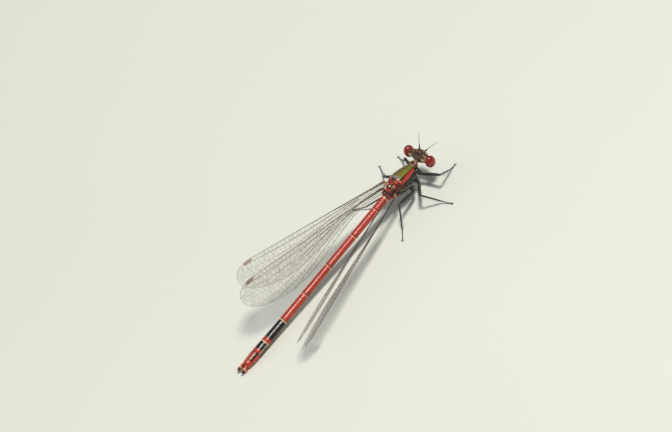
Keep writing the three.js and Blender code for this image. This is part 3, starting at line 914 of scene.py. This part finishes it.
def build_eye(name, side):
    """Compound eye, red, browner on top, below and towards the head, with a faint darker band."""
    centre = HEAD + np.array([-EYE_BACK, side * EYE_SPREAD, 0.02])
    eye = ball(centre, EYE_HALF, segments=72, rings=48)
    eye.name = eye.data.name = name
    points = vertex_array(eye)
    height = (points[:, 2] - centre[2]) / EYE_HALF[2]
    ahead = (points[:, 0] - centre[0]) / EYE_HALF[0]
    inward = (centre[1] - points[:, 1]) * side / EYE_HALF[1]
    colours = layers(
        all_over(EYE_RED, points),
        (smooth(height, 0.3, 0.95) * 0.8, EYE_TOP),
        (smooth(inward, 0.35, 0.8) * (1 - smooth(ahead, -0.1, 0.5)) * 0.8, EYE_AMBER),
        ((1 - smooth(height, -0.6, 0.0)) * 0.8, EYE_BELOW),
        (groove(height + 0.1 - 0.2 * ahead, 0.12) * 0.3, EYE_BAND),
    )
    paint(eye, colours)
    return eye


def build_claspers():
    """Two hooked upper and two lower claspers at the end of the tail."""
    back, left, up = abdomen_axes(np.array(1.0))
    end = abdomen_point(1.0)
    lines = []
    for lift, reach, thick in ((0.24, 0.95, 0.17), (-0.2, 0.82, 0.16)):
        for side in (1, -1):
            points = []
            for s, spread, _ in CLASPER_SHAPE:
                point = end + back * s * reach + left * side * spread + up * lift * (1 - 0.25 * s)
                point[2] = max(point[2], CLASPER_HEIGHT)
                points.append(point)
            lines.append(curved(points, [thick * size for _, _, size in CLASPER_SHAPE]))
    claspers = tubes("claspers", lines, sides=14)
    points = vertex_array(claspers)
    along = (points - end) @ back
    colours = layers(
        all_over(RED, points),
        (band(along, 0.24, 0.46, 0.05), CREAM),
        (smooth(along, 0.52, 0.64), INK),
    )
    paint(claspers, colours)
    return claspers


def bristle(root, direction, length, thick):
    """A fine stiff hair as a line of three points."""
    direction = unit(direction)
    drop = np.array([0, 0, -HAIR_SAG * length])
    points = [root, root + direction * length * 0.55 + drop * 0.3, root + direction * length + drop]
    return points, [thick, thick * 0.7, thick * 0.15]


def build_leg(name, places):
    """Hip, thigh, shin and jointed foot, with two rows of bristles on the thigh and on the shin."""
    hip, thigh, knee, ankle, toe = (np.array(p, float) for p in places)
    toe[2] = TOE_HEIGHT
    random = np.random.default_rng(sum(ord(letter) for letter in name))
    bend = knee + (knee - (thigh + ankle) / 2) * 0.02
    above = hip + np.array([0, 0, 0.15])
    femur = curved(
        [above, hip, thigh, thigh + (knee - thigh) * 0.35, thigh + (knee - thigh) * 0.8, bend],
        [0.26, 0.27, 0.19, 0.215, 0.18, 0.14])
    shin = curved(
        [bend, bend + (ankle - bend) * 0.12, bend + (ankle - bend) * 0.6, ankle],
        [0.13, 0.105, 0.1, 0.085])
    foot = ([ankle + (toe - ankle) * s for s, _ in FOOT_SHAPE], [r for _, r in FOOT_SHAPE])
    leg = tubes("leg", [femur, shin, foot], sides=14)
    hairs = []
    run = unit(ankle - bend)
    away = unit(np.cross(run, (0, 0, 1.0)))
    below = unit(np.cross(away, run))
    below *= -np.sign(below[2])
    for start, end, count, thick in ((thigh, knee, 7, 0.17), (bend, ankle, 9, 0.09)):
        for side in (1, -1):
            for k in range(count):
                root = start + (end - start) * (0.15 + 0.8 * k / count)
                lean = below * 0.8 + away * side * 0.55 + unit(end - start) * (0.5 + 0.2 * random.random())
                length = (0.42 + 0.12 * random.random()) * (1 if root[2] > 0.7 else 0.45)
                points, radii = bristle(root + unit(lean) * thick * 0.6, lean, length, 0.018)
                hairs.append(([np.array([p[0], p[1], max(p[2], 0.02)]) for p in points], radii))
    return join("whole_leg_" + name, [leg, tubes("hairs", hairs, sides=4)])


def build_claws():
    """Two hooked claws at the end of each foot, with a small tooth under each."""
    lines = []
    for places in LEGS.values():
        ankle, toe = np.array(places[3], float), np.array(places[4], float)
        toe[2] = TOE_HEIGHT
        along = unit((toe - ankle) * (1, 1, 0))
        sideways = np.array([-along[1], along[0], 0])
        for side in (1, -1):
            middle = toe + along * 0.16 + sideways * side * 0.1 + np.array([0, 0, 0.03])
            tip = toe + along * 0.28 + sideways * side * 0.13
            tip[2] = 0.02
            lines.append(curved([toe, middle, tip], [0.045, 0.036, 0.01], steps=5))
            tooth = middle * 0.5 + tip * 0.5 + np.array([0, 0, -0.03])
            lines.append(([middle, tooth], [0.022, 0.006]))
    return tubes("foot_claws", lines, sides=10)


def build_feeler(name, side):
    """Feeler with two thick joints at its base and a whip that tapers."""
    x, _, z = HEAD
    root = np.array([x + 0.62, side * 0.4, z + 0.4])
    along = unit((0.72, side * 0.52, 0.46))
    points = [root + along * s + np.array([0, 0, -0.05 * s * s]) for s, _ in FEELER_SHAPE]
    return tubes(name, [curved(points, [r for _, r in FEELER_SHAPE], 4)], sides=10)


def build_hairs():
    """Short hairs on the face, and on the back and flanks of the thorax."""
    random = np.random.default_rng(11)
    lines = []
    for _ in range(150):
        y = random.uniform(-0.75, 0.75)
        z = random.uniform(-0.75, 0.45)
        root = HEAD + np.array([0.74 - 0.3 * abs(y) - 0.35 * abs(z + 0.1), y, z])
        lean = (1.0, y * 0.8 + random.uniform(-0.3, 0.3), 0.3 + random.uniform(-0.3, 0.5))
        lines.append(bristle(root - 0.1 * unit(lean), lean, random.uniform(0.25, 0.5), 0.011))
    for _ in range(260):
        x = random.uniform(-1.6, 1.9)
        down = math.radians(random.choice([random.uniform(4, 40), random.uniform(60, 130)]))
        side = random.choice([1, -1])
        middle, wide, high = thorax_section(x)
        out = np.array([0, side * math.sin(down), math.cos(down)])
        root = np.array([x, out[1] * wide, middle + out[2] * high])
        lean = out + np.array([random.uniform(-0.1, 0.5), random.uniform(-0.2, 0.2), 0.1])
        lines.append(bristle(root - 0.03 * out, lean, random.uniform(0.18, 0.36), 0.009))
    return tubes("fine_hairs", lines, sides=4)


# Wings
def tip_round(share, start):
    run = np.maximum(share - start, 0) / (1 - start)
    return np.maximum(0, 1 - run ** 2.2) ** (1 / 2.2)


def wing_edges(share):
    """Front and rear edge of the blade, in millimetres across from the line of its direction."""
    share = np.asarray(share, float)
    front = STALK_WIDTH / 2
    widening = smooth(share, STALK_SHARE * 0.7, 0.74) ** 0.85
    rear = -front - (WING_WIDTH - STALK_WIDTH) * widening
    tip = front - TIP_DROP
    front_round, rear_round = tip_round(share, 0.88), tip_round(share, 0.72)
    front_edge = tip + (front - tip) * front_round
    rear_start = np.maximum(rear, tip)
    return front_edge, rear_start + (rear - rear_start) * rear_round


class Wing:
    """Maps a place on the blade, along and across it, to a point."""

    def __init__(self, root, towards, chord, length):
        self.root = np.array(root, float)
        self.axis = unit(towards)
        self.front = unit(np.array(chord) - np.dot(chord, self.axis) * self.axis)
        self.face = np.cross(self.axis, self.front)
        self.length = length

    def at(self, along, across, lift=0.0):
        """Along from 0 at the root to 1 at the tip, across from 0 at the front edge to 1 behind."""
        along, across = np.asarray(along, float), np.asarray(across, float)
        front, rear = wing_edges(along)
        width = front + (rear - front) * across
        pleat = 0.05 * np.sin(across * 9 * math.pi) * smooth(along, 0.1, 0.3) * (1 - smooth(along, 0.9, 1))
        height = pleat * (1 - across) + lift
        return (self.root + self.axis * (along * self.length)[..., None]
                + self.front * width[..., None] + self.face * np.asarray(height)[..., None])


# Long veins: start along, start across, end along, end across, bend, radius, as shares of the blade
LONG_VEINS = [
    (0.0, 0.0, WING_END, 0.0, 1.0, 0.038),
    (0.0, 0.16, WING_NODE, 0.0, 1.6, 0.022),
    (0.0, 0.3, 0.955, 0.1, 0.55, 0.034),
    (ARCULUS, 0.42, 0.99, 0.3, 0.35, 0.022),
    (0.62, 0.323, 0.985, 0.42, 1.2, 0.013),
    (0.46, 0.337, 0.985, 0.52, 1.3, 0.016),
    (0.4, 0.38, 0.98, 0.64, 1.4, 0.015),
    (0.3, 0.357, 0.965, 0.76, 1.5, 0.018),
    (ARCULUS, 0.42, 0.94, 0.9, 1.6, 0.02),
    (ARCULUS, 0.54, 0.87, 1.0, 1.6, 0.018),
    (0.0, 0.64, 0.74, 1.0, 1.9, 0.022),
    (0.0, 1.0, WING_END, 1.0, 1.0, 0.026),
]
RADIUS_VEIN = LONG_VEINS[2]
HIND_VEIN = LONG_VEINS[-2]


def vein_across(vein, along):
    """Share across the blade at which a long vein lies, at a place along it."""
    start, first, end, last, bend, _ = vein
    share = np.clip((along - start) / (end - start), 0, 1)
    return first + (last - first) * share ** bend


def cross_vein(wing, along, low, high, radius, count=3):
    """A vein straight across the blade at one place along it, from one share across to another."""
    return wing.at(np.full(count, along), np.linspace(low, high, count)), radius


def veins_at(along):
    """Where the long veins lie across the blade at one place along it, from front to rear."""
    there = [vein for vein in LONG_VEINS if vein[0] <= along <= vein[2]]
    return sorted(float(vein_across(vein, along)) for vein in there)


def vein_lines(wing):
    """The long veins, then rows of cross veins, each from one long vein to the next."""
    lines = []
    for vein in LONG_VEINS:
        start, _, end, _, _, radius = vein
        along = start + (end - start) * np.sin(np.linspace(0, math.pi / 2, 60))
        points = wing.at(along, vein_across(vein, along))
        lines.append((points, radius * (1 - 0.5 * smooth(along, 0.3, 1.0))))
    stem = [float(vein_across(vein, ARCULUS)) for vein in (RADIUS_VEIN, HIND_VEIN)]
    lines.append(cross_vein(wing, ARCULUS, *stem, 0.018, count=5))
    lines.append(cross_vein(wing, WING_END, 0, 1, 0.016, count=5))
    for k in range(int((CROSS_VEINS_END - CROSS_VEINS_START) / VEIN_STEP)):
        for row in range(len(LONG_VEINS)):
            place = CROSS_VEINS_START + VEIN_STEP * (k + 0.5 * (row % 2)) + 0.003 * row
            across = veins_at(min(place, WING_END))
            if place > CROSS_VEINS_END or row + 1 >= len(across):
                continue
            low, high = across[row], across[row + 1]
            front, rear = wing_edges(place)
            before_node = place < WING_NODE and (low < 0.3 or k % 2)
            if before_node or (high - low) * (front - rear) < SHORTEST_CROSS_VEIN:
                continue
            lines.append(cross_vein(wing, place, low, high, CROSS_VEIN_RADIUS))
    for place in (0.13, 0.26):
        low, high = (float(vein_across(vein, place)) for vein in (LONG_VEINS[0], RADIUS_VEIN))
        lines.append(cross_vein(wing, place, low, high, 0.016))
    return lines


def build_veins(name, wing):
    return tubes("veins_" + name, vein_lines(wing), sides=6)


def build_membrane(name, wing):
    """A thin closed sheet with shallow pleats."""
    steps, columns = 90, 28
    along = WING_END * np.sin(np.linspace(0, math.pi / 2, steps + 1))
    across = np.linspace(0, 1, columns + 1)
    grid = np.meshgrid(along, across, indexing="ij")
    top = wing.at(grid[0], grid[1], MEMBRANE_THICK / 2).reshape(-1, 3)
    bottom = wing.at(grid[0], grid[1], -MEMBRANE_THICK / 2).reshape(-1, 3)
    row = columns + 1
    under = len(top)
    faces = []
    for i in range(steps):
        for j in range(columns):
            a = i * row + j
            faces.append((a, a + 1, a + row + 1, a + row))
            faces.append((a + under, a + row + under, a + row + 1 + under, a + 1 + under))
    rim = list(range(columns))
    rim += [i * row + columns for i in range(steps)]
    rim += [steps * row + j for j in range(columns, 0, -1)]
    rim += [i * row for i in range(steps, 0, -1)]
    for a, b in zip(rim, rim[1:] + rim[:1]):
        faces.append((a, a + under, b + under, b))
    sheet = mesh_object("membrane_" + name, np.vstack([top, bottom]), faces)
    face_outwards(sheet)
    return sheet


def build_stigma(name, wing):
    """The coloured cell near the tip of the front edge, a low lens with slanting ends."""
    rows, columns = 12, 8
    rings = []
    for j in range(columns + 1):
        across = STIGMA_FRONT + STIGMA_WIDTH * j / columns
        lean = STIGMA_SLANT * j / columns
        low, high = [], []
        for i in range(rows + 1):
            along = STIGMA_START + lean + STIGMA_LENGTH * i / rows
            swell = 0.05 * math.sin(math.pi * (0.1 + 0.8 * i / rows))
            swell *= math.sin(math.pi * (0.1 + 0.8 * j / columns))
            high.append(wing.at(along, across, swell + 0.02))
            low.append(wing.at(along, across, -swell - 0.02))
        rings.append(high + low[::-1])
    return loft("stigma_" + name, rings)


def build_root(name, wing):
    """The thickened base of each wing: plates at the hinge, and stems that run into the main veins."""
    side = np.sign(wing.root[1])
    fore = name.startswith("fore")
    hinge = np.array([-1.6, 0.46 * side, 4.4]) if fore else np.array([-2.14, 0.62 * side, 3.64])
    lines = []
    for across, thick, shift in ((0.0, 0.062, 0.12), (0.3, 0.056, 0.0), (1.0, 0.046, -0.14)):
        start = hinge + wing.front * shift
        first = wing.at(0.0, across)
        middle = start * 0.4 + first * 0.6 + np.array([0, 0, 0.03])
        ends = [start, middle, first, wing.at(0.035, across), wing.at(0.09, across)]
        lines.append(curved(ends, [thick * size for size in (2.0, 1.7, 1.1, 0.85, 0.5)], steps=5))
    stems = tubes("wing_root_" + name, lines, sides=12)
    plates = [
        ball(wing.at(0.0, 0.15) - wing.axis * 0.08, (0.2, 0.13, 0.1), segments=20, rings=12),
        ball(wing.at(0.0, 0.8) - wing.axis * 0.06, (0.17, 0.12, 0.09), segments=20, rings=12),
    ]
    root = join("wing_root_" + name, [stems] + plates)
    points = vertex_array(root)
    away = (points - wing.root) @ wing.axis
    colours = layers(
        all_over(HINGE_PALE, points),
        (smooth(ripple(points, 0.07), -0.35, 0.1) * 0.9, HINGE_BROWN),
        (smooth(away, 0.0, 0.3), STEM_DARK),
        (1 - smooth(away, -0.6, -0.25), DEEP_RED),
    )
    paint(root, colours)
    return root


# Camera, floor and light
CAMERA_RIGHT = unit((0.608, -0.738, -0.290))
CAMERA_DOWN = unit((-0.729, -0.374, -0.570))
CAMERA_TARGET = np.array([-6.94, 5.58, 1.24])
PIXELS_PER_MM = 8.46
PICTURE_WIDTH = 672
CAMERA_DISTANCE = 600
SENSOR_WIDTH = 36


def to_frame(point):
    return HOME + Vector(point) * MM


def add_camera():
    data = bpy.data.cameras.new("camera")
    data.sensor_width = SENSOR_WIDTH
    data.lens = SENSOR_WIDTH * CAMERA_DISTANCE / (PICTURE_WIDTH / PIXELS_PER_MM)
    data.clip_start = 0.01
    data.clip_end = 10
    camera = bpy.data.objects.new("camera", data)
    right = Vector(CAMERA_RIGHT)
    up = -Vector(CAMERA_DOWN)
    back = right.cross(up).normalized()
    up = back.cross(right).normalized()
    turn = Matrix((right, up, back)).transposed()
    place = to_frame(CAMERA_TARGET) + back * CAMERA_DISTANCE * MM
    camera.matrix_world = Matrix.Translation(place) @ turn.to_4x4()
    bpy.context.scene.collection.objects.link(camera)
    bpy.context.scene.camera = camera


def add_floor():
    bpy.ops.mesh.primitive_plane_add(size=3, location=(0, 0, -0.00001))
    floor = bpy.context.object
    floor.name = "floor"
    floor.data.materials.append(floor_material())


def add_light(name, place, size, energy, colour=(1, 1, 1)):
    data = bpy.data.lights.new(name, "AREA")
    data.size = size
    data.energy = energy
    data.color = colour
    lamp = bpy.data.objects.new(name, data)
    lamp.location = HOME + Vector(place)
    lamp.rotation_euler = (HOME - lamp.location).to_track_quat("-Z", "Y").to_euler()
    bpy.context.scene.collection.objects.link(lamp)


def add_studio():
    world = bpy.data.worlds.new("studio")
    world.use_nodes = True
    world.node_tree.nodes["Background"].inputs["Color"].default_value = (0.94, 0.97, 1, 1)
    world.node_tree.nodes["Background"].inputs["Strength"].default_value = 0.22
    bpy.context.scene.world = world
    add_light("key", (0.05, -0.1, 0.43), 0.07, 1.6, (1, 0.97, 0.92))
    add_light("fill", (-0.35, 0.3, 0.3), 0.5, 0.5, (0.94, 0.97, 1))
    bpy.context.scene.view_settings.view_transform = "Standard"


add_camera()
add_floor()
add_studio()

body_finish = painted_cuticle()
leg_finish = plain_cuticle("Black leg cuticle", (20, 18, 16), (70, 70, 66), rough=(0.24, 0.4))
hair_finish = plain_cuticle("Hair", (50, 44, 36), (120, 110, 96), coat=0)
vein_finish = plain_cuticle("Wing vein", (30, 20, 15), (72, 50, 36), rough=(0.3, 0.5))
stigma_finish = plain_cuticle("Wing stigma", (150, 124, 110), (196, 172, 156), rough=(0.3, 0.45), scale=4000)
membrane_finish = membrane_material()
eye_finish = eye_material()

flesh = ["head", "prothorax", "thorax"] + [f"abdomen_segment_{n}" for n in range(1, 11)]
hooks = [f"clasper_{row}_{hand}" for row in ("upper", "lower") for hand in ("left", "right")]
settle(build_skin(), body_finish, "abdomen_red", *flesh)
settle(build_claspers(), body_finish, "clasper_dark", *hooks)
for hand, side in (("left", 1), ("right", -1)):
    settle(build_eye("compound_eye_" + hand, side), eye_finish, "eye_red", "eye_" + hand)
    settle(build_feeler("feeler_" + hand, side), leg_finish, "antenna_black", "antenna_" + hand)
for name, places in LEGS.items():
    sections = [f"leg_{name}_{section}" for section in ("femur", "tibia", "tarsus")]
    settle(build_leg(name, places), leg_finish, "leg_black", *sections)
settle(build_claws(), leg_finish, "leg_black")
settle(build_hairs(), hair_finish, "leg_black")
for name, pose in WINGS.items():
    wing = Wing(*pose)
    settle(build_membrane(name, wing), membrane_finish, "wing_membrane", "wing_" + name)
    settle(build_veins(name, wing), vein_finish, "wing_membrane")
    settle(build_stigma(name, wing), stigma_finish, "wing_membrane")
    settle(build_root(name, wing), body_finish, "wing_membrane")
